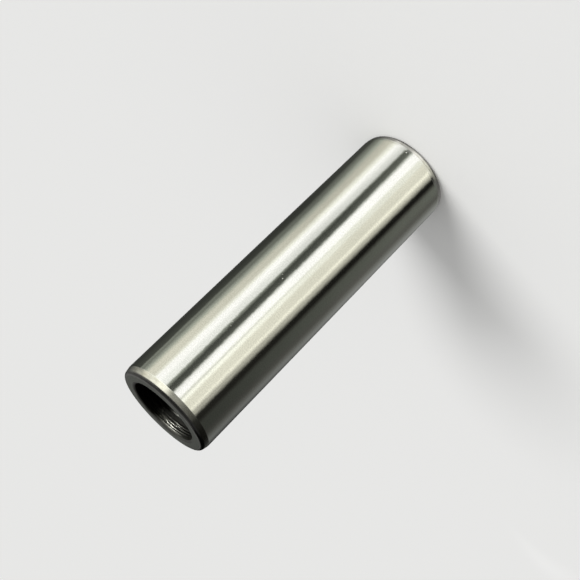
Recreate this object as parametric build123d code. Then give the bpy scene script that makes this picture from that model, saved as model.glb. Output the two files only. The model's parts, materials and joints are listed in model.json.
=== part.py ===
from build123d import *
import math
import os

# Piston pin: one hollow steel pin, turned from bar, bored right through, hardened, and ground on its outside.
# Millimetres and degrees. The pin stands on one end: +Z runs along its axis, and the origin is the centre of
# the lower end face. Both ends are alike.

# Driving dimensions
pin_diameter = 22.0  # ground running surface
pin_length = 78.0  # end face to end face
wall_thickness = 3.25  # from the bore to the running surface
lead_in_length = 1.7  # lead-in that guides the pin into a boss, along the axis
lead_in_angle = 12.0  # slope of the lead-in against the axis
rim_round = 0.8  # radius between the lead-in and the end face
mouth_depth = 0.25  # chamfer at each mouth of the bore, along the axis
mouth_angle = 65.0  # slope of that chamfer against the axis

# Radii that follow
pin_radius = pin_diameter / 2
bore_radius = pin_radius - wall_thickness
rim_radius = pin_radius - lead_in_length * math.tan(math.radians(lead_in_angle))
mouth_radius = bore_radius + mouth_depth * math.tan(math.radians(mouth_angle))


def end_profile(face_height: float, inward: int) -> list[tuple[float, float]]:
    """Return one end of the wall's section as (radius, height) points, from the bore out to the running surface.

    Args:
        face_height: Height of the end face.
        inward: 1 where the pin lies above the end face, -1 where it lies below.
    """
    return [
        (bore_radius, face_height + inward * mouth_depth),
        (mouth_radius, face_height),
        (rim_radius, face_height),
        (pin_radius, face_height + inward * lead_in_length),
    ]


def wall_section() -> Sketch:
    """Return the section of the wall on the +X side of the axis, with the rims rounded."""
    lower_end = end_profile(0, 1)
    upper_end = end_profile(pin_length, -1)
    with BuildSketch(Plane.XZ) as section:
        with BuildLine():
            Polyline(*lower_end, *reversed(upper_end), close=True)
        make_face()
        rims = [
            corner
            for corner in section.vertices()
            if math.isclose(corner.X, rim_radius, abs_tol=1e-6)
        ]
        fillet(rims, rim_round)
    return section.sketch


def piston_pin() -> Part:
    """Return the pin: its wall's section turned once round the axis."""
    return revolve(wall_section(), axis=Axis.Z)


os.makedirs("parts", exist_ok=True)
export_step(piston_pin(), "parts/piston_pin.step")
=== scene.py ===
"""Looks of a hollow piston pin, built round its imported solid.

The pin stands on one end with +Z along its axis. The scene holds the pin's turned and ground surfaces, a pale
floor, a soft lamp, a small lamp for the bore, a light tent that only polished metal mirrors, and the camera.
"""

import json
import logging
import math
from collections.abc import Callable, Mapping, Sequence
from dataclasses import dataclass, fields
from enum import Enum
from typing import Any, NamedTuple, TypeVar

import bpy
from mathutils import Matrix, Vector


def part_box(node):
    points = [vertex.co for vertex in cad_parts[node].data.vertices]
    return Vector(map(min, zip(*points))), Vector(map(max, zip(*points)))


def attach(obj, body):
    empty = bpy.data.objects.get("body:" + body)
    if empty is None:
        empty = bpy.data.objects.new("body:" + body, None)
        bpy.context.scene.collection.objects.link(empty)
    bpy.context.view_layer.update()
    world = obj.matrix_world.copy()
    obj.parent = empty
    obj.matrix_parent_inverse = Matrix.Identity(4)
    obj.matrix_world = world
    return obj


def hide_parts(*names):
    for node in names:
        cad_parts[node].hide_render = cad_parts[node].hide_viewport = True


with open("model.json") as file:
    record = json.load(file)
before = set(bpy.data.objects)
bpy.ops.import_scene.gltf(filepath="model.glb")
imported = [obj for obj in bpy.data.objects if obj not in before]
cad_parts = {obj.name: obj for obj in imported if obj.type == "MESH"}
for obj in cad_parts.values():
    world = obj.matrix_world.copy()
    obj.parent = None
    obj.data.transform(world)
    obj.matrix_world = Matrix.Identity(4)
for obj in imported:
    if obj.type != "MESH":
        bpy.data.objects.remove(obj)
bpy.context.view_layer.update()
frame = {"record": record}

LOG = logging.getLogger("piston_pin")
MM = 0.001
NODE = "piston_pin"
Colour = tuple[float, float, float]
Number = TypeVar("Number")


def between(start: Number, end: Number, share: Any) -> Number:
    """Return the number or signal at a share of the way from start to end."""
    return start + (end - start) * share


def direction(turn: float, rise: float) -> Vector:
    """Return a direction of length 1.

    Args:
        turn: Degrees round from the front, towards +X.
        rise: Degrees above the horizon.

    Returns:
        The direction.
    """
    round_by, up_by = math.radians(turn), math.radians(rise)
    level = math.cos(up_by)
    return Vector((math.sin(round_by) * level, -math.cos(round_by) * level, math.sin(up_by)))


def put(name: str, data: bpy.types.ID) -> bpy.types.Object:
    """Add a mesh, a camera or a lamp to the scene as an object, and return the object."""
    added = bpy.data.objects.new(name, data)
    bpy.context.scene.collection.objects.link(added)
    return added


def hang(name: str, data: bpy.types.Light, towards: Vector) -> bpy.types.Object:
    """Add a lamp that shines from a direction, and return the lamp."""
    lamp = put(name, data)
    lamp.rotation_mode = "QUATERNION"
    lamp.rotation_quaternion = towards.to_track_quat("Z", "Y")
    return lamp


# ---------------------------------------- node building


def of_one(operation: str) -> Callable[["Signal"], "Signal"]:
    """Return a method that puts a signal through a Math node."""

    def method(self: "Signal") -> "Signal":
        """Return the outcome for self."""
        return self.maths(operation, self)

    return method


def of_two(operation: str, reflected: bool = False) -> Callable[["Signal", "Signal | float"], "Signal"]:
    """Return a method that puts a signal and another value through a Math node.

    Args:
        operation: The node's operation.
        reflected: Whether the other value comes first.

    Returns:
        The method.
    """

    def method(self: "Signal", other: "Signal | float") -> "Signal":
        """Return the outcome for self and other."""
        first, second = (other, self) if reflected else (self, other)
        return self.maths(operation, first, second)

    return method


class Signal:
    """An output socket that can be written in a formula. Its angles are in radians."""

    def __init__(self, graph: "Graph", socket: bpy.types.NodeSocket) -> None:
        """Wrap a socket.

        Args:
            graph: The graph that owns the socket's node.
            socket: The output socket.
        """
        self.graph = graph
        self.socket = socket

    def maths(self, operation: str, *operands: "Signal | float") -> "Signal":
        """Add a Math node on the operands and return its output."""
        inputs = dict(enumerate(operands))
        return self.graph.node("ShaderNodeMath", inputs, operation=operation)["Value"]

    def __neg__(self) -> "Signal":
        """Return self with its sign turned."""
        return self.maths("SUBTRACT", 0.0, self)

    __add__ = of_two("ADD")
    __radd__ = of_two("ADD", reflected=True)
    __sub__ = of_two("SUBTRACT")
    __rsub__ = of_two("SUBTRACT", reflected=True)
    __mul__ = of_two("MULTIPLY")
    __rmul__ = of_two("MULTIPLY", reflected=True)
    __truediv__ = of_two("DIVIDE")
    __rtruediv__ = of_two("DIVIDE", reflected=True)
    __lt__ = of_two("LESS_THAN")
    __gt__ = of_two("GREATER_THAN")
    __abs__ = of_one("ABSOLUTE")
    smaller = of_two("MINIMUM")
    angle_from = of_two("ARCTAN2")
    sine = of_one("SINE")
    cosine = of_one("COSINE")
    tangent = of_one("TANGENT")
    fraction = of_one("FRACT")
    root = of_one("SQRT")

    def ramp(self, start: float, end: float) -> "Signal":
        """Return a smooth step of self, 0 at start and 1 at end."""
        inputs = {"Value": self, "From Min": start, "From Max": end}
        return self.graph.node("ShaderNodeMapRange", inputs, interpolation_type="SMOOTHSTEP")["Result"]


class Made:
    """A node just added, whose outputs are read by name or number."""

    def __init__(self, graph: "Graph", node: bpy.types.Node) -> None:
        """Wrap a node of a graph."""
        self.graph = graph
        self.node = node

    def __getitem__(self, output: str | int) -> Signal:
        """Return one output of the node as a signal."""
        return Signal(self.graph, self.node.outputs[output])


Value = Signal | float | int | bool | str | Sequence[float] | bpy.types.ID


class Graph:
    """Adds nodes to one tree of materials, of the world or of geometry."""

    def __init__(self, tree: bpy.types.NodeTree) -> None:
        """Wrap a tree and empty it.

        Args:
            tree: The node tree to write.
        """
        self.tree = tree
        tree.nodes.clear()

    def node(self, kind: str, inputs: Mapping[str | int, Value] | None = None, **settings: Any) -> Made:
        """Add a node of any type.

        Args:
            kind: The node's type name.
            inputs: Values or signals of its sockets, by name or number.
            settings: Its properties, set before any socket.

        Returns:
            The node, for its outputs.
        """
        node = self.tree.nodes.new(kind)
        for name, value in settings.items():
            setattr(node, name, value)
        for key, value in (inputs or {}).items():
            socket = node.inputs[key]
            if isinstance(value, Signal):
                self.tree.links.new(value.socket, socket)
            else:
                socket.default_value = value
        return Made(self, node)

    def blend(self, start: Colour, end: Colour, share: Signal) -> Signal:
        """Mix two colours.

        Args:
            start: The colour at a share of 0.
            end: The colour at a share of 1.
            share: How much of the end colour shows, from 0 to 1.

        Returns:
            The mixed colour.
        """
        factor_socket, start_socket, end_socket, result_socket = 0, 6, 7, 2
        inputs = {
            factor_socket: share,
            start_socket: (*start, 1.0),
            end_socket: (*end, 1.0),
        }
        return self.node("ShaderNodeMix", inputs, data_type="RGBA")[result_socket]

    def point(self, x: Signal, y: Signal, z: Signal | float) -> Signal:
        """Join three numbers into a vector."""
        return self.node("ShaderNodeCombineXYZ", {"X": x, "Y": y, "Z": z})["Vector"]

    def noise(self, x: Signal, y: Signal, z: Signal | float, detail: float = 2.0) -> Signal:
        """Return smooth noise between about 0 and 1.

        Args:
            x: First coordinate of the point that it is read at, in noise cells.
            y: Second coordinate.
            z: Third coordinate, which picks one pattern where it stays the same.
            detail: How many finer layers are added.

        Returns:
            The noise.
        """
        inputs = {"Vector": self.point(x, y, z), "Scale": 1.0, "Detail": detail}
        return self.node("ShaderNodeTexNoise", inputs, noise_dimensions="3D")[0]


def new_material(name: str) -> tuple[bpy.types.Material, Graph]:
    """Return a new material and the graph of its nodes, which is empty."""
    made = bpy.data.materials.new(name)
    made.use_nodes = True
    return made, Graph(made.node_tree)


# ---------------------------------------- finishes


class Zone(Enum):
    """The surfaces of the pin, numbered in the order in which they meet along its section."""

    BORE = 0
    MOUTH = 1
    END_FACE = 2
    RIM = 3
    LEAD_IN = 4
    EDGE_BREAK = 5
    LAND = 6


@dataclass(frozen=True)
class TurnedPoint:
    """A place on a turned body, as the finishes read it.

    Attributes:
        x: Millimetres along +X.
        y: Millimetres along +Y.
        height: Millimetres up the axis.
        radius: Millimetres from the axis.
        azimuth: Angle round from the front, towards +X, in radians.
    """

    x: Signal
    y: Signal
    height: Signal
    radius: Signal
    azimuth: Signal

    @staticmethod
    def on(graph: Graph) -> "TurnedPoint":
        """Return the place that a material's graph is worked out for."""
        position = graph.node("ShaderNodeTexCoord")["Object"]
        axes = graph.node("ShaderNodeSeparateXYZ", {"Vector": position})
        x, y, z = axes["X"] / MM, axes["Y"] / MM, axes["Z"] / MM
        return TurnedPoint(x, y, z, (x * x + y * y).root(), x.angle_from(-y))


Marks = tuple[Signal, Signal, Signal]
"""How dark, how rough and how high a surface is at a place."""


@dataclass(frozen=True)
class Finish:
    """A metal surface. Each kind of finish adds its own marks.

    Attributes:
        name: The material's name.
        steel: Colour of the clean metal.
        shade: Colour of the metal where marks or dirt darken it, and where painted shade or a painted
            reflection darkens it.
        roughness: Mean roughness.
        roughness_swing: How far the marks move the roughness either way.
        relief: Depth of the marks, in metres.
        lay: How strongly the lay round the pin stretches highlights, from 0 to 1.
    """

    name: str
    steel: Colour
    shade: Colour
    roughness: float
    roughness_swing: float
    relief: float
    lay: float = 0.0

    def marks(self, graph: Graph, place: TurnedPoint) -> Marks:
        """Return how dark, how rough and how high the surface is at a place, 0 to 1 for the most part.

        Args:
            graph: The material's graph.
            place: The place on the pin.

        Returns:
            The share of the shade colour, the share of the roughness swing, and the height in reliefs.
        """
        raise NotImplementedError

    def material(self) -> bpy.types.Material:
        """Build the finish.

        Returns:
            The material, with colour, roughness and relief from its marks.
        """
        made, graph = new_material(self.name)
        dark, rough, height = self.marks(graph, TurnedPoint.on(graph))
        swing = self.roughness_swing
        inputs = {"Strength": 1.0, "Distance": self.relief, "Height": height}
        bump = graph.node("ShaderNodeBump", inputs)
        quarter_turn = 0.25
        inputs = {
            "Base Color": graph.blend(self.steel, self.shade, dark),
            "Metallic": 1.0,
            "Roughness": rough * (2 * swing) + (self.roughness - swing),
            "Anisotropic": self.lay,
            "Anisotropic Rotation": quarter_turn,
            "Normal": bump["Normal"],
        }
        shader = graph.node("ShaderNodeBsdfPrincipled", inputs)
        graph.node("ShaderNodeOutputMaterial", {"Surface": shader["BSDF"]})
        return made


@dataclass(frozen=True)
class Mark:
    """A mark on the ground surface: a small mark of handling, or the long painted reflection line.

    Attributes:
        azimuth: Degrees round from the front, towards +X.
        height: Millimetres above the lower end.
        across: Half its width round the pin, in millimetres.
        along: Half its length up the pin, in millimetres.
        lean: Degrees that its length leans over towards +X.
    """

    azimuth: float
    height: float
    across: float
    along: float
    lean: float = 0.0


@dataclass(frozen=True)
class GroundLand(Finish):
    """The running surface: ground, then superfinished to a near mirror, with a few marks of handling and one
    painted reflection, a thin dark line up the pin.

    Attributes:
        pin_radius: Radius of the surface, in millimetres.
        line_length: Length of a grinding line round the pin, in millimetres.
        line_width: Its width, in millimetres.
        wave_height: Height of the waviness left by the wheel, in reliefs.
        pit_depth: Depth of the pits, in reliefs.
        pits: Small bright pits.
        scuffs: Thin dull scuffs, and one long thin dark line up the pin that is a painted reflection.
    """

    pin_radius: float = 11.0
    line_length: float = 2.4
    line_width: float = 0.09
    wave_height: float = 12.0
    pit_depth: float = 55.0
    pits: tuple[Mark, ...] = ()
    scuffs: tuple[Mark, ...] = ()

    def _mask(self, place: TurnedPoint, mark: Mark) -> Signal:
        """Return 1 inside a mark, falling softly to 0 at its edge."""
        across = (place.azimuth - math.radians(mark.azimuth)) * self.pin_radius
        up = place.height - mark.height
        lean = math.radians(mark.lean)
        side = (across * math.cos(lean) - up * math.sin(lean)) / mark.across
        length = (across * math.sin(lean) + up * math.cos(lean)) / mark.along
        soft_from, edge = 0.45, 1.0
        return 1.0 - (side * side + length * length).root().ramp(soft_from, edge)

    def _masks(self, place: TurnedPoint, marks: tuple[Mark, ...]) -> Signal | float:
        """Return the masks of several marks together."""
        return sum(self._mask(place, mark) for mark in marks)

    def marks(self, graph: Graph, place: TurnedPoint) -> Marks:
        """Return grinding lines round the pin, grain, clouding, waviness, pits, scuffs and the painted
        reflection line.
        """
        around, up = place.azimuth * self.pin_radius, place.height
        lines = graph.noise(around / self.line_length, up / self.line_width, 0.0, 1.0)
        grain = graph.noise(around * 3.4, up * 3.4, 3.0)
        cloud = graph.noise(around * 0.12, up * 0.09, 7.0)
        wave = graph.noise(around * 0.55, up * 0.60, 11.0)
        pits = self._masks(place, self.pits)
        scuffs = self._masks(place, self.scuffs)
        mottle = (lines * 0.15 + grain * 0.60 + cloud * 0.25).ramp(0.38, 0.64)
        # The scuff masks also hold a painted reflection: a long thin dark line up the pin.
        dark = mottle * 0.8 + scuffs * 0.45
        rough = lines * 0.5 + cloud * 0.5 + scuffs * 0.6 + pits * 9.0
        height = lines * 0.10 + grain * 0.05 + wave * self.wave_height
        return dark, rough, height - pits * self.pit_depth - scuffs * 0.8


@dataclass(frozen=True)
class TurnedLeadIn(Finish):
    """The turned lead-in: fine tool lines round the pin, left a little dull and brown.

    Attributes:
        line_width: Mean width of a tool line, in millimetres.
    """

    line_width: float = 0.16

    def marks(self, graph: Graph, place: TurnedPoint) -> Marks:
        """Return tool lines round the pin and blotches of heat tint."""
        lines = graph.noise(place.azimuth * 1.6, place.height / self.line_width, 1.0)
        blotch = graph.noise(place.azimuth * 7.0, place.height * 1.1, 5.0, 3.0)
        return blotch.ramp(0.30, 0.75), lines * 0.6 + blotch * 0.4, lines


@dataclass(frozen=True)
class FacedEnd(Finish):
    """An end face: faced on the lathe and left matte, with faint rings.

    Attributes:
        ring_width: Mean width of a ring, in millimetres.
        speckles: Speckles in a millimetre.
    """

    ring_width: float = 0.22
    speckles: float = 3.2

    def marks(self, graph: Graph, place: TurnedPoint) -> Marks:
        """Return faint rings and a fine speckle."""
        rings = graph.noise(place.azimuth * 0.8, place.radius / self.ring_width, 2.0)
        x, y, z = (axis * self.speckles for axis in (place.x, place.y, place.height))
        speckle = graph.noise(x, y, z, 3.0)
        dark = (rings * 0.45 + speckle * 0.55).ramp(0.30, 0.72)
        return dark, rings * 0.5 + speckle * 0.5, rings * 0.6 + speckle * 0.4


@dataclass(frozen=True)
class BoredWall(Finish):
    """The bore: drilled and reamed, with uneven tool rings, and painted shade that darkens it further in and
    on one side.

    Attributes:
        mouths: Heights of the two mouths, in millimetres.
        ring_width: Mean width of a tool ring, in millimetres.
        ring_start: Height that the tool rings are counted from, in millimetres.
        painted_shade_side: Azimuth of the side that the painted shade darkens most, in degrees.
    """

    mouths: tuple[float, float] = (0.0, 78.0)
    ring_width: float = 0.55
    ring_start: float = 1.3
    painted_shade_side: float = 132.0

    def marks(self, graph: Graph, place: TurnedPoint) -> Marks:
        """Return long tool rings of uneven depth, broken round the bore, and painted shade that darkens
        inwards and on one side.
        """
        along = (place.height - self.ring_start) / self.ring_width
        rings = graph.noise(place.azimuth * 0.45, along, 4.0, 0.0)
        haze = graph.noise(place.azimuth * 2.4, place.height * 0.9, 6.0)
        low, high = self.mouths
        depth = (place.height - low).smaller(high - place.height)
        within = depth.ramp(0.4, 0.9)
        # Painted shade: one side of the bore and its mouths darker, where less light falls.
        painted_side_shade = (place.azimuth - math.radians(self.painted_shade_side)).cosine().ramp(0.50, 0.90)
        # Painted shade: the bore grows darker further in, as a deep recess does, and darker on one side.
        painted_shade = depth.ramp(0.8, 7.0) + painted_side_shade * depth.ramp(0.05, 0.18)
        dark = (haze.ramp(0.35, 0.70) * 0.5 + painted_shade).smaller(1.0)
        broken = haze.ramp(0.30, 0.62) * within
        return dark, haze * 0.5 + (1.0 - within) * 0.5, rings.ramp(0.40, 0.60) * broken


# ---------------------------------------- the pin


@dataclass(frozen=True)
class PinSizes:
    """Sizes of the pin. Lengths are in metres.

    Attributes:
        foot: Height of the lower end face.
        top: Height of the upper end face.
        pin_radius: Radius of the running surface.
        bore_radius: Radius of the bore.
        lead_in_length: Length of the lead-in along the axis.
        lead_in_slope: Slope of the lead-in against the axis, in radians.
        rim_round: Radius between the lead-in and the end face.
        mouth_depth: Depth of the chamfer at the bore's mouth.
        mouth_slope: Slope of that chamfer against the axis, in radians.
        edge_break: Length of the softened corner between the upper lead-in and the land.
        foot_break: The same at the lower end, which is worn softer.
    """

    foot: float
    top: float
    pin_radius: float
    bore_radius: float
    lead_in_length: float = 1.7 * MM
    lead_in_slope: float = math.radians(12.0)
    rim_round: float = 0.8 * MM
    mouth_depth: float = 0.25 * MM
    mouth_slope: float = math.radians(65.0)
    edge_break: float = 0.12 * MM
    foot_break: float = 0.70 * MM

    @staticmethod
    def from_frame() -> "PinSizes":
        """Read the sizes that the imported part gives: its box, and the bore's radius from its mount."""
        low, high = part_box(NODE)
        bore = next(m for m in frame["record"]["mounts"] if m["name"] == "bore")
        return PinSizes(low.z, high.z, (high.y - low.y) / 2, bore["dims"]["r_mm"] * MM)


Spot = tuple[Signal, Signal]
"""A point of the pin's section: its radius and its height."""


@dataclass(frozen=True)
class PistonPin:
    """The pin as one turned body, from a section swept once round its axis.

    Attributes:
        sizes: Its sizes.
        finishes: The finish of each surface.
        facets: Flats round the pin, fine enough to look round.
        long_rows: Rows of faces along the land and the bore.
        round_rows: Rows of faces over a rounded rim.
    """

    sizes: PinSizes
    finishes: dict[Zone, Finish]
    facets: int = 320
    long_rows: int = 24
    round_rows: int = 8

    def _name_sockets(self, tree: bpy.types.GeometryNodeTree) -> dict[str, float]:
        """Give the tree its output, and a named input for each of the sizes.

        Args:
            tree: The geometry tree.

        Returns:
            The value of each input, by the input's identifier.
        """
        tree.interface.new_socket("Pin", in_out="OUTPUT", socket_type="NodeSocketGeometry")
        values = {}
        for entry in fields(self.sizes):
            name = entry.name.replace("_", " ").title()
            item = tree.interface.new_socket(name, in_out="INPUT", socket_type="NodeSocketFloat")
            values[item.identifier] = getattr(self.sizes, entry.name)
        return values

    def _band(self, graph: Graph, zone: Zone, rows: int, outline: Callable[[Signal], Spot]) -> Signal:
        """Sweep one stretch of the section round the axis.

        Args:
            graph: The geometry graph.
            zone: The surface that the stretch belongs to.
            rows: Rows of faces along the stretch.
            outline: Gives the point at a share of the way along the stretch.

        Returns:
            The swept band.
        """
        counts = {"Size X": 1.0, "Size Y": 1.0, "Vertices X": rows + 1, "Vertices Y": self.facets + 1}
        grid = graph.node("GeometryNodeMeshGrid", counts)["Mesh"]
        place = graph.node("GeometryNodeInputPosition")["Position"]
        axes = graph.node("ShaderNodeSeparateXYZ", {"Vector": place})
        radius, height = outline(axes["X"] + 0.5)
        turn = (axes["Y"] + 0.5) * (-2 * math.pi)
        point = graph.point(radius * turn.cosine(), radius * turn.sine(), height)
        band = graph.node("GeometryNodeSetPosition", {"Geometry": grid, "Position": point})
        inputs = {"Geometry": band["Geometry"], "Name": "zone", "Value": float(zone.value)}
        kind = "GeometryNodeStoreNamedAttribute"
        return graph.node(kind, inputs, data_type="FLOAT", domain="FACE")["Geometry"]

    def _straight(self, graph: Graph, zone: Zone, start: Spot, end: Spot, rows: int = 1) -> Signal:
        """Sweep a straight stretch of the section between two points."""

        def outline(share: Signal) -> Spot:
            """Return the point at a share of the way from start to end."""
            return between(start[0], end[0], share), between(start[1], end[1], share)

        return self._band(graph, zone, rows, outline)

    def _end(self, graph: Graph, size: dict[str, Signal], face: Signal, inward: float) -> list[Signal]:
        """Sweep the surfaces of one end of the pin.

        Args:
            graph: The geometry graph.
            size: The tree's named inputs.
            face: Height of the end face.
            inward: 1 where the pin lies above the face, -1 where it lies below.

        Returns:
            The bands of the mouth, face, rim, lead-in and edge break.
        """
        slope, length = size["Lead In Slope"], size["Lead In Length"]
        turn = math.pi / 2 - slope
        rim_radius = size["Pin Radius"] - length * slope.tangent()
        setback = size["Rim Round"] * (turn * 0.5).tangent()
        centre_radius = rim_radius - setback
        bore = (size["Bore Radius"], face + size["Mouth Depth"] * inward)
        mouth = (size["Bore Radius"] + size["Mouth Depth"] * size["Mouth Slope"].tangent(), face)
        flat_end = (centre_radius, face)
        lead_start = (rim_radius + setback * slope.sine(), face + setback * slope.cosine() * inward)
        half_break = size["Foot Break" if inward > 0 else "Edge Break"] * 0.5
        lead_end = (size["Pin Radius"] - half_break * slope.tangent(), face + (length - half_break) * inward)
        land = (size["Pin Radius"], face + (length + half_break) * inward)

        def rounded(share: Signal) -> Spot:
            """Return the point at a share of the way round the rim, outward at either end of the pin."""
            turned = turn * (share if inward > 0 else 1.0 - share)
            return (
                centre_radius + size["Rim Round"] * turned.sine(),
                face + size["Rim Round"] * (1.0 - turned.cosine()) * inward,
            )

        def stretch(zone: Zone, start: Spot, end: Spot) -> Signal:
            """Sweep one straight surface, outward at either end of the pin."""
            first, last = (start, end) if inward > 0 else (end, start)
            return self._straight(graph, zone, first, last)

        return [
            stretch(Zone.MOUTH, bore, mouth),
            stretch(Zone.END_FACE, mouth, flat_end),
            self._band(graph, Zone.RIM, self.round_rows, rounded),
            stretch(Zone.LEAD_IN, lead_start, lead_end),
            stretch(Zone.EDGE_BREAK, lead_end, land),
        ]

    def _write(self, graph: Graph, materials: dict[Zone, bpy.types.Material]) -> None:
        """Write the tree that turns the section into the pin.

        Args:
            graph: The geometry graph.
            materials: The material of each surface.
        """
        given = graph.node("NodeGroupInput")
        size = {output.name: given[output.name] for output in given.node.outputs if output.name}
        foot, top, radius = size["Foot"], size["Top"], size["Pin Radius"]
        land_start = foot + size["Lead In Length"] + size["Foot Break"] * 0.5
        land_end = top - size["Lead In Length"] - size["Edge Break"] * 0.5
        land = self._straight(graph, Zone.LAND, (radius, land_start), (radius, land_end), self.long_rows)
        bore_start = (size["Bore Radius"], top - size["Mouth Depth"])
        bore_end = (size["Bore Radius"], foot + size["Mouth Depth"])
        bore = self._straight(graph, Zone.BORE, bore_start, bore_end, self.long_rows)
        bands = [land, bore, *self._end(graph, size, foot, 1.0), *self._end(graph, size, top, -1.0)]
        joined = graph.node("GeometryNodeJoinGeometry")
        for band in bands:
            graph.tree.links.new(band.socket, joined.node.inputs[0])
        inputs = {"Geometry": joined["Geometry"], "Distance": 1e-4 * MM}
        closed = graph.node("GeometryNodeMergeByDistance", inputs)["Geometry"]
        inputs = {"Geometry": closed, "Shade Smooth": True}
        smooth = graph.node("GeometryNodeSetShadeSmooth", inputs, domain="FACE")["Geometry"]
        zone = graph.node("GeometryNodeInputNamedAttribute", {"Name": "zone"}, data_type="FLOAT")
        # An edge takes the mean of its two faces' numbers, which is a whole number and a half between zones.
        corner = zone["Attribute"].fraction() > 0.25
        inputs = {"Geometry": smooth, "Selection": corner, "Shade Smooth": False}
        sharp = graph.node("GeometryNodeSetShadeSmooth", inputs, domain="EDGE")["Geometry"]
        geometry = graph.node("GeometryNodeRealizeInstances", {"Geometry": sharp})["Geometry"]
        for kind, material in materials.items():
            here = abs(zone["Attribute"] - float(kind.value)) < 0.5
            inputs = {"Geometry": geometry, "Selection": here, "Material": material}
            geometry = graph.node("GeometryNodeSetMaterial", inputs)["Geometry"]
        graph.node("NodeGroupOutput", {0: geometry})

    def build(self) -> bpy.types.Object:
        """Build the pin as a plain mesh, attach it to the root body and hide the imported part.

        Returns:
            The finished piece.
        """
        made = {finish: finish.material() for finish in dict.fromkeys(self.finishes.values())}
        materials = {zone: made[finish] for zone, finish in self.finishes.items()}
        tree = bpy.data.node_groups.new("turned_pin", "GeometryNodeTree")
        tree.is_modifier = True
        values = self._name_sockets(tree)
        self._write(Graph(tree), materials)
        piece = put("ground_pin", bpy.data.meshes.new("ground_pin"))
        modifier = piece.modifiers.new("turned_pin", "NODES")
        modifier.node_group = tree
        for identifier, value in values.items():
            modifier[identifier] = value
        turned = piece.evaluated_get(bpy.context.evaluated_depsgraph_get())
        mesh = bpy.data.meshes.new_from_object(turned)
        piece.modifiers.clear()
        piece.data = mesh
        mesh.name = "ground_pin"
        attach(piece, "root")
        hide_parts(NODE)
        LOG.info("ground_pin: %d faces, %d materials", len(mesh.polygons), len(mesh.materials))
        return piece


def pin_finishes(sizes: PinSizes) -> dict[Zone, Finish]:
    """Return the finish of each surface of the pin.

    Args:
        sizes: The pin's sizes.

    Returns:
        The finishes by surface. Surfaces that were made together share one.
    """
    land = GroundLand(
        "ground_land",
        steel=(0.695, 0.69, 0.658),
        shade=(0.585, 0.58, 0.552),
        roughness=0.12,
        roughness_swing=0.02,
        relief=0.0015 * MM,
        lay=0.35,
        pin_radius=sizes.pin_radius / MM,
        pits=(
            Mark(11.0, 44.2, 0.13, 0.16),
            Mark(14.2, 43.5, 0.09, 0.10),
            Mark(13.6, 58.9, 0.09, 0.10),
            Mark(15.4, 58.0, 0.16, 0.11),
            Mark(14.5, 2.4, 0.20, 0.22),
        ),
        scuffs=(
            # Painted reflection: a long thin dark line up the pin, painted into the colour.
            Mark(-3.2, 66.5, 0.08, 11.5),
            Mark(35.0, 38.6, 0.06, 0.9, 55.0),
            Mark(41.5, 40.4, 0.06, 0.8, 40.0),
        ),
    )
    lead_in = TurnedLeadIn(
        "turned_lead_in",
        steel=(0.66, 0.645, 0.60),
        shade=(0.48, 0.465, 0.42),
        roughness=0.20,
        roughness_swing=0.04,
        relief=0.005 * MM,
    )
    rim = TurnedLeadIn(
        "rolled_rim",
        steel=(0.46, 0.45, 0.43),
        shade=(0.36, 0.35, 0.33),
        roughness=0.24,
        roughness_swing=0.04,
        relief=0.004 * MM,
    )
    face = FacedEnd(
        "faced_end",
        steel=(0.425, 0.445, 0.395),
        shade=(0.32, 0.335, 0.297),
        roughness=0.44,
        roughness_swing=0.05,
        relief=0.010 * MM,
    )
    mouths = (sizes.foot / MM, sizes.top / MM)
    # The mouth's shade colour is mostly painted shade on one side of the mouth.
    mouth = BoredWall(
        "bore_mouth",
        steel=(0.34, 0.34, 0.31),
        shade=(0.06, 0.058, 0.05),
        roughness=0.40,
        roughness_swing=0.06,
        relief=0.01 * MM,
        mouths=mouths,
    )
    # The bore's shade colour is mostly painted shade, further in and on one side.
    bore = BoredWall(
        "reamed_bore",
        steel=(0.30, 0.30, 0.265),
        shade=(0.035, 0.034, 0.028),
        roughness=0.42,
        roughness_swing=0.09,
        relief=0.10 * MM,
        mouths=mouths,
    )
    return {
        Zone.BORE: bore,
        Zone.MOUTH: mouth,
        Zone.END_FACE: face,
        Zone.RIM: rim,
        Zone.LEAD_IN: lead_in,
        Zone.EDGE_BREAK: land,
        Zone.LAND: land,
    }


# ---------------------------------------- studio


@dataclass(frozen=True)
class ViewCamera:
    """The camera, placed by where it looks.

    Attributes:
        aim: The point it looks at, in metres.
        distance: Metres from that point.
        elevation: Degrees above the horizon.
        roll: Degrees that its up direction leans to its right.
        lens: Focal length, in millimetres.
    """

    aim: tuple[float, float, float] = (-0.59 * MM, 0.0, 40.17 * MM)
    distance: float = 0.2046
    elevation: float = 23.15
    roll: float = 134.85
    lens: float = 59.97

    def offset(self) -> Vector:
        """Return the way from the aim to the camera."""
        return direction(0.0, self.elevation) * self.distance

    def place(self) -> Vector:
        """Return where the camera stands."""
        return Vector(self.aim) + self.offset()

    def build(self) -> None:
        """Make the camera and give it to the scene."""
        data = bpy.data.cameras.new("camera")
        data.lens = self.lens
        data.clip_start, data.clip_end = 0.01, 100.0
        camera = put("camera", data)
        upright = self.offset().to_track_quat("Z", "Y").to_matrix()
        turned = upright @ Matrix.Rotation(-math.radians(self.roll), 3, "Z")
        camera.matrix_world = Matrix.Translation(self.place()) @ turned.to_4x4()
        bpy.context.scene.camera = camera


class Tint(Enum):
    """Colours of the tent's light, each with green at 1."""

    WHITE = (0.995, 1.0, 0.985)
    PEARL = (0.978, 1.0, 0.966)
    STRAW = (0.985, 1.0, 0.900)
    CREAM = (1.010, 1.0, 0.855)
    OLIVE = (0.930, 1.0, 0.860)
    SLATE = (0.965, 1.0, 0.955)


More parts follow.
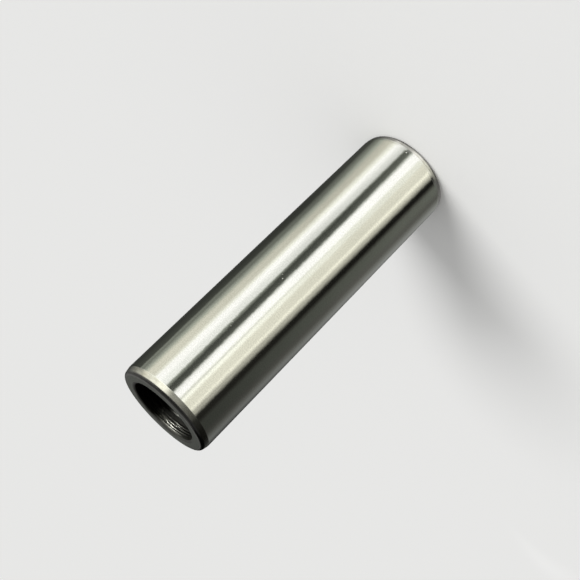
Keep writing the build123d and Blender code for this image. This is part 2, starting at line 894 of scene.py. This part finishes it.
class Strip(NamedTuple):
    """One end of a card, given by the part of the pin that mirrors it to the camera.

    Attributes:
        start: Azimuth on the pin where its reflection starts, in degrees from the front towards +X.
        end: Azimuth on the pin where its reflection ends.
        level: Brightness of the reflection at the start, where 1 is white.
        end_level: Brightness at the end.
    """

    start: float
    end: float
    level: float
    end_level: float


@dataclass(frozen=True)
class Card:
    """A softbox or flag of the tent that stands upright. Its light fades softly into its neighbours'.

    Attributes:
        tint: The colour of its light.
        strips: Its lower end, and then, where they differ, the places further up that it passes through.
    """

    tint: Tint
    strips: tuple[Strip, ...]

    def at(self, share: float, joint: float) -> Strip:
        """Return where the card is at a height.

        Args:
            share: How far up the card, from 0 to 1.
            joint: The share at which a card of three strips passes through the middle one.

        Returns:
            The strip there.
        """
        places = {1: (0.0,), 2: (0.0, 1.0), 3: (0.0, joint, 1.0)}[len(self.strips)]
        known = list(zip(places, self.strips))
        for (below, low), (above, high) in zip(known, known[1:]):
            if share <= above:
                part = (share - below) / (above - below)
                return Strip(*(between(*pair, part) for pair in zip(low, high)))
        return self.strips[-1]


def card(tint: Tint, *strips: tuple[float, ...]) -> Card:
    """Return a card from its tint and its strips, where an end level may be left out if it is the same."""
    return Card(tint, tuple(Strip(*strip[:3], strip[-1]) for strip in strips))


BEHIND = 94.0
"""Azimuth that stands for the tent straight behind the pin, which no part of a ring mirrors."""


@dataclass(frozen=True)
class Ring:
    """A ring of the pin's surface that mirrors one storey of the tent.

    Attributes:
        height: Height of the ring, in metres.
        radius: Its radius, in metres.
        tilt: How far its surface faces up, in degrees.
    """

    height: float
    radius: float
    tilt: float

    def mirrored(self, azimuth: float, eye: Vector, wall_radius: float) -> float:
        """Return where on the tent the camera sees a place on the ring look.

        Args:
            azimuth: Azimuth of the place, in degrees.
            eye: Where the camera stands.
            wall_radius: Radius of the tent, in metres.

        Returns:
            The azimuth on the tent, in degrees.
        """
        place = direction(azimuth, 0.0) * self.radius + Vector((0.0, 0.0, self.height))
        normal = direction(azimuth, self.tilt)
        view = (eye - place).normalized()
        ray = (normal * (2 * normal.dot(view)) - view).xy
        across = place.xy.dot(ray)
        reach = wall_radius**2 - self.radius**2
        length = (math.sqrt(across**2 + ray.dot(ray) * reach) - across) / ray.dot(ray)
        hit = place.xy + ray * length
        found = math.degrees(math.atan2(hit.x, -hit.y))
        folded = azimuth * found < 0 and abs(found) > 90
        return found + math.copysign(360.0, azimuth) if folded else found


@dataclass(frozen=True)
class Storey:
    """One storey of the tent: a ring of cards between two heights.

    Attributes:
        bottom: Lowest height, in metres.
        top: Highest height, in metres.
        ring: The ring of the pin that mirrors it.
        cards: Its cards in order of azimuth.
        back: Brightness behind the pin, where no card stands.
        level_ends: Length at either end over which the cards stay as they are at that end, in metres.
        joint: Share of the way up at which cards of three strips pass through the middle one.
    """

    bottom: float
    top: float
    ring: Ring
    cards: tuple[Card, ...]
    back: float
    level_ends: tuple[float, float] = (0.0, 0.0)
    joint: float = 0.31

    def glow(self, azimuth: float, share: float) -> Colour:
        """Blend the light of the cards on either side of a place.

        Args:
            azimuth: Azimuth on the pin, in degrees.
            share: How far up the storey, from 0 to 1.

        Returns:
            The light that the pin shows there.
        """
        lowest = self.bottom + self.level_ends[0]
        highest = self.top - self.level_ends[1]
        height = between(self.bottom, self.top, share)
        along = min(max((height - lowest) / (highest - lowest), 0.0), 1.0)
        stops = [(-BEHIND, self.back, Tint.WHITE)]
        for each in self.cards:
            start, end, level, end_level = each.at(along, self.joint)
            stops += [(start, level, each.tint), (end, end_level, each.tint)]
        stops.append((BEHIND, self.back, Tint.WHITE))
        where = min(max(azimuth, -BEHIND), BEHIND)
        smallest_gap = 1e-6
        for (left, left_level, left_tint), (right, right_level, right_tint) in zip(stops, stops[1:]):
            if left <= where <= right:
                part = (where - left) / max(right - left, smallest_gap)
                level = between(left_level, right_level, part)
                red, green, blue = (
                    level * between(*pair, part) for pair in zip(left_tint.value, right_tint.value)
                )
                return red, green, blue
        return (self.back,) * 3


LAND_CARDS = (
    card(Tint.SLATE, (-90, -84, 0.09, 0.11), (-90, -84, 0.06, 0.08), (-90, -80, 0.01, 0.022)),
    card(Tint.SLATE, (-74, -68, 0.2, 0.19), (-72, -67, 0.19, 0.175), (-67, -64, 0.118, 0.115)),
    card(Tint.STRAW, (-56, -54, 0.083), (-56, -53, 0.085, 0.083), (-54, -50, 0.048, 0.038)),
    card(Tint.OLIVE, (-45, -39.7, 0.115, 0.11), (-45, -38.7, 0.088, 0.084), (-46, -36.7, 0.036)),
    card(Tint.CREAM, (-33.7, -29.5, 0.007), (-33.2, -28.5, 0.006), (-31.7, -27.1, 0.012)),
    card(Tint.CREAM, (-25.1, -24.3, 0.46, 0.5), (-24.6, -23.3, 0.42, 0.44), (-23.4, -21.4, 0.35)),
    card(Tint.CREAM, (-20.9, -19.9, 0.88), (-20.1, -18.8, 0.84), (-18.3, -17.2, 0.8)),
    card(Tint.CREAM, (-17.6, -9.7, 0.65, 0.69), (-17.2, -9.7, 0.63, 0.65), (-16, -9.2, 0.69)),
    card(Tint.STRAW, (-7.5, -4.2, 0.765, 0.78), (-7.2, -3.8, 0.75, 0.78), (-6.2, -5.2, 1.0, 0.98)),
    card(Tint.STRAW, (-3.4, -3.2, 0.79), (-3.3, -3.2, 0.8), (-3.5, -2.7, 0.64, 0.67)),
    card(Tint.WHITE, (-0.7, 6.3, 0.99, 0.97), (-1.4, 5.1, 0.98), (-1.2, 1.8, 0.99)),
    card(Tint.WHITE, (6.6, 6.8, 0.94), (5.6, 6.0, 0.9, 0.85), (4.1, 5.2, 0.88, 0.84)),
    card(Tint.OLIVE, (11.1, 15.6, 0.13, 0.09), (8.7, 14.5, 0.09, 0.045), (7.6, 12.6, 0.08, 0.045)),
    card(Tint.OLIVE, (16.0, 16.6, 0.1, 0.12), (15.2, 16.2, 0.08, 0.1), (14.3, 15.8, 0.19, 0.26)),
    card(Tint.PEARL, (18.8, 22.8, 0.6, 0.72), (18.3, 21.8, 0.62, 0.67), (17.0, 21.8, 0.84, 0.87)),
    card(Tint.WHITE, (28.7, 29.7, 0.95), (27.9, 28.9, 0.97, 0.94), (24.8, 30.1, 0.98, 0.96)),
    card(Tint.STRAW, (32.6, 33.3, 0.83, 0.8), (31.3, 32.1, 0.86, 0.82), (31.0, 31.6, 0.88, 0.8)),
    card(Tint.CREAM, (38, 46, 0.53, 0.435), (36.2, 41, 0.46, 0.45), (34.4, 41, 0.62, 0.63)),
    card(Tint.OLIVE, (50, 51.5, 0.35, 0.32), (46.2, 47.9, 0.32, 0.245), (46.8, 48.0, 0.305, 0.265)),
    card(Tint.OLIVE, (54, 56, 0.225, 0.19), (51.2, 54.9, 0.125, 0.105), (50.8, 54.5, 0.155, 0.205)),
    card(Tint.OLIVE, (65, 72, 0.052, 0.042), (60, 71, 0.036, 0.028), (56.1, 71, 0.055, 0.03)),
    card(Tint.SLATE, (80, 90, 0.05, 0.06), (82, 90, 0.045, 0.07), (82, 90, 0.042, 0.07)),
)
RIM_CARDS = (
    card(Tint.SLATE, (-90, -66, 0.009, 0.015), (-90, -62, 0.001)),
    card(Tint.CREAM, (-60, -44, 0.009, 0.007), (-58, -44, 0.003, 0.0065)),
    card(Tint.STRAW, (-30, -30, 0.018)),
    card(Tint.STRAW, (-22, -12, 0.09, 0.125)),
    card(Tint.STRAW, (-4, 6, 0.26)),
    card(Tint.STRAW, (12, 12, 0.82)),
    card(Tint.STRAW, (15, 25, 1.12, 1.05)),
    card(Tint.STRAW, (31, 37, 0.9, 0.83)),
    card(Tint.CREAM, (43, 43, 0.68)),
    card(Tint.STRAW, (50, 50, 0.4)),
    card(Tint.STRAW, (60, 60, 0.23)),
    card(Tint.SLATE, (74, 80, 0.07)),
    card(Tint.SLATE, (86, 90, 0.08, 0.1)),
)
CROWN_CARDS = (
    card(Tint.WHITE, (-90, -88, 0.14, 0.03)),
    card(Tint.WHITE, (-82, -40, 0.001, 0.002)),
    card(Tint.WHITE, (-30, 6, 0.035), (-30, 6, 0.01)),
    card(Tint.WHITE, (20, 52, 0.12, 0.09), (20, 52, 0.03)),
    card(Tint.WHITE, (75, 90, 0.08, 0.14)),
)
FOOT_CARDS = (
    card(Tint.WHITE, (-80, -60, 0.12), (-80, -60, 0.12, 0.16)),
    card(Tint.WHITE, (-45, -34, 0.08), (-45, -34, 0.115, 0.1)),
    card(Tint.STRAW, (-28, -25, 0.13, 0.15), (-28, -25, 0.24, 0.32)),
    card(Tint.STRAW, (-20, -8, 0.26, 0.34), (-20, -8, 0.54, 0.7)),
    card(Tint.WHITE, (-3, 6, 0.5), (-3, 6, 0.94, 0.98)),
    card(Tint.WHITE, (13, 17, 0.26), (13, 17, 0.46, 0.44)),
    card(Tint.WHITE, (25, 31, 0.2), (25, 31, 0.44, 0.68)),
    card(Tint.WHITE, (38, 45, 0.16), (38, 45, 0.26, 0.22)),
    card(Tint.WHITE, (55, 80, 0.08), (55, 80, 0.09, 0.07)),
)


@dataclass(frozen=True)
class LightTent:
    """A wrap-round tent of softboxes and flags that only shows as reflections in polished metal.

    Attributes:
        camera: The camera that the cards are set out for.
        sizes: The pin's sizes.
        radius: Metres from the pin's axis to the tent's wall.
        steel: Share of the light that polished steel sends back.
        lid: Brightness of the lid over its front and its back edge.
        columns: Columns of faces round the tent.
        rows: Rows of faces up each storey.
    """

    camera: ViewCamera
    sizes: PinSizes
    radius: float = 26 * MM
    steel: float = 0.64
    lid: tuple[float, float] = (0.015, 0.10)
    columns: int = 720
    rows: int = 24

    def storeys(self) -> tuple[Storey, ...]:
        """Return the storeys, from under the floor to above the pin."""
        foot, top = self.sizes.foot, self.sizes.top
        land, slope = self.sizes.pin_radius, self.sizes.lead_in_slope
        half_lead = self.sizes.lead_in_length / 2
        cone, tilt = land - half_lead * math.tan(slope), math.degrees(slope)
        lower = Ring(foot + half_lead, cone, -tilt)
        middle = Ring((foot + top) / 2, land, 0.0)
        upper = Ring(top - half_lead, cone, tilt)
        rim = Ring(top, cone, 45.0)
        below_floor, below_lead, above_rim = foot - 14.5 * MM, top - 3.8 * MM, top + 4.0 * MM
        return (
            Storey(foot - 90 * MM, below_floor, lower, FOOT_CARDS, back=0.36, level_ends=(50 * MM, 14 * MM)),
            Storey(below_floor, below_lead, middle, LAND_CARDS, back=0.80, level_ends=(6.5 * MM, 6.2 * MM)),
            Storey(below_lead, above_rim, upper, RIM_CARDS, back=0.08, level_ends=(1.0 * MM, 4.5 * MM)),
            Storey(above_rim, top + 34 * MM, rim, CROWN_CARDS, back=0.14),
        )

    def facing(self, ring: Ring, tent_azimuth: float) -> float:
        """Return the azimuth on a ring that mirrors an azimuth of the tent, both in degrees."""
        eye = self.camera.place()
        outermost, halvings = 88.0, 20
        last = abs(ring.mirrored(math.copysign(outermost, tent_azimuth), eye, self.radius))
        if abs(tent_azimuth) > last:
            behind = (abs(tent_azimuth) - last) / (180.0 - last)
            return math.copysign(between(outermost, BEHIND, behind), tent_azimuth)
        low, high = -outermost, outermost
        for _ in range(halvings):
            middle = (low + high) / 2
            if ring.mirrored(middle, eye, self.radius) < tent_azimuth:
                low = middle
            else:
                high = middle
        return (low + high) / 2

    def _wall(self, storey: Storey) -> tuple[list[Vector], list[Colour]]:
        """Return the points of a storey's wall, row by row from its bottom, and the light at each."""
        turns = [360 * column / self.columns - 180 for column in range(self.columns)]
        azimuths = [self.facing(storey.ring, turn) for turn in turns]
        points: list[Vector] = []
        glows: list[Colour] = []
        for row in range(self.rows + 1):
            share = row / self.rows
            up = Vector((0.0, 0.0, between(storey.bottom, storey.top, share)))
            points += [direction(turn, 0.0) * self.radius + up for turn in turns]
            glows += [storey.glow(azimuth, share) for azimuth in azimuths]
        return points, glows

    def _mesh(self) -> bpy.types.Mesh:
        """Return the tent's wall and lid as a mesh, with the light at each point in its colours."""
        points: list[Vector] = []
        faces: list[tuple[int, ...]] = []
        glows: list[Colour] = []
        for storey in self.storeys():
            start = len(points)
            wall_points, wall_glows = self._wall(storey)
            points += wall_points
            glows += wall_glows
            for row in range(self.rows):
                low, high = start + row * self.columns, start + (row + 1) * self.columns
                for column in range(self.columns):
                    after = (column + 1) % self.columns
                    faces.append((low + column, low + after, high + after, high + column))
        rim = points[-self.columns :]
        faces.append(tuple(range(len(points), len(points) + self.columns)))
        points += rim
        front, back = self.lid
        glows += [(between(front, back, 0.5 + 0.5 * place.y / self.radius),) * 3 for place in rim]
        mesh = bpy.data.meshes.new("light_tent")
        mesh.from_pydata(points, [], faces)
        shown = mesh.attributes.new("glow", "FLOAT_COLOR", "POINT")
        shown.data.foreach_set("color", [v for glow in glows for v in (*glow, 1.0)])
        return mesh

    def build(self) -> None:
        """Make the tent and its lid, seen by reflections alone."""
        mesh = self._mesh()
        material, graph = new_material("tent_light")
        glow = graph.node("ShaderNodeAttribute", attribute_name="glow")["Color"]
        light = graph.node("ShaderNodeEmission", {"Color": glow, "Strength": 1 / self.steel})
        graph.node("ShaderNodeOutputMaterial", {"Surface": light["Emission"]})
        mesh.materials.append(material)
        tent = put("light_tent", mesh)
        tent.visible_camera = tent.visible_diffuse = tent.visible_shadow = False
        tent.visible_transmission = tent.visible_volume_scatter = False
        LOG.info("light_tent: %d faces", len(mesh.polygons))


@dataclass(frozen=True)
class Studio:
    """A pale floor under soft plain light.

    Attributes:
        floor_colour: Colour of the floor, which the backdrop takes too.
        sky: Share of the light that comes evenly from all round.
        lamp_turn: Degrees round from the front to the side that the lamp shines from, towards +X.
        lamp_height: Degrees of the lamp above the horizon.
        lamp_softness: Degrees across that the lamp seems from the floor.
        floor_size: Half the floor's width, in metres.
    """

    floor_colour: Colour = (0.80, 0.80, 0.79)
    sky: float = 0.55
    lamp_turn: float = 62.0
    lamp_height: float = 52.0
    lamp_softness: float = 28.0
    floor_size: float = 60.0

    def _floor(self, level: float) -> None:
        """Lay the floor at a height, in metres."""
        half = self.floor_size
        mesh = bpy.data.meshes.new("floor")
        corners = [(-half, -half, level), (half, -half, level), (half, half, level), (-half, half, level)]
        mesh.from_pydata(corners, [], [(0, 1, 2, 3)])
        material, graph = new_material("pale_floor")
        matte = graph.node("ShaderNodeBsdfDiffuse", {"Color": (*self.floor_colour, 1.0)})
        graph.node("ShaderNodeOutputMaterial", {"Surface": matte["BSDF"]})
        mesh.materials.append(material)
        floor = put("floor", mesh)
        floor.visible_glossy = False

    def _world(self) -> None:
        """Fill the world with even light, and show the floor's colour behind everything."""
        world = bpy.data.worlds.new("studio")
        bpy.context.scene.world = world
        world.use_nodes = True
        world.cycles.sampling_method = "NONE"
        graph = Graph(world.node_tree)
        path = graph.node("ShaderNodeLightPath")
        seen = path["Is Camera Ray"] + path["Is Glossy Ray"] + path["Is Transmission Ray"]
        colour = graph.blend((self.sky,) * 3, self.floor_colour, seen)
        background = graph.node("ShaderNodeBackground", {"Color": colour, "Strength": 1.0})
        graph.node("ShaderNodeOutputWorld", {"Surface": background["Background"]})

    def _lamp(self) -> None:
        """Hang the lamp, which lights the floor up to its written colour."""
        data = bpy.data.lights.new("soft_lamp", "SUN")
        data.energy = (1 - self.sky) * math.pi / math.sin(math.radians(self.lamp_height))
        data.angle = math.radians(self.lamp_softness)
        lamp = hang("soft_lamp", data, direction(self.lamp_turn, self.lamp_height))
        lamp.visible_glossy = False

    def build(self, level: float) -> None:
        """Make the floor, the world and the lamp.

        Args:
            level: Height of the floor, in metres.
        """
        self._floor(level)
        self._world()
        self._lamp()
        bpy.context.scene.view_settings.view_transform = "Standard"


@dataclass(frozen=True)
class BoreLamp:
    """A narrow lamp that shines over the near lip on to the far wall of the bore.

    Attributes:
        turn: Azimuth that it shines from, in degrees.
        height: Degrees of the lamp above the horizon.
        distance: Metres from the lit place.
        depth: How far under the upper mouth that place lies, in metres.
        spread: Width of its cone, in degrees.
        size: Radius of the lamp, in metres.
        power: Its power, in watts.
    """

    turn: float = 52.0
    height: float = 29.0
    distance: float = 0.12
    depth: float = 1.6 * MM
    spread: float = 6.0
    size: float = 0.002
    power: float = 0.40

    def build(self, sizes: PinSizes) -> None:
        """Hang the lamp so that it lights the wall just under the upper mouth.

        Args:
            sizes: The pin's sizes.
        """
        data = bpy.data.lights.new("bore_lamp", "SPOT")
        data.energy = self.power
        data.spot_size = math.radians(self.spread)
        data.spot_blend = 1.0
        data.shadow_soft_size = self.size
        towards = direction(self.turn, self.height)
        wall = direction(180 + self.turn / 2, 0.0) * sizes.bore_radius
        wall.z = sizes.top - self.depth
        lamp = hang("bore_lamp", data, towards)
        lamp.location = wall + towards * self.distance
        lamp.visible_camera = False


def main() -> None:
    """Build the pin, its studio and the camera."""
    logging.basicConfig(level=logging.INFO, format="%(name)s %(message)s")
    sizes = PinSizes.from_frame()
    PistonPin(sizes, pin_finishes(sizes)).build()
    camera = ViewCamera()
    camera.build()
    Studio().build(sizes.foot)
    BoreLamp().build(sizes)
    LightTent(camera, sizes).build()
    bpy.context.view_layer.update()


if __name__ == "__main__":
    main()
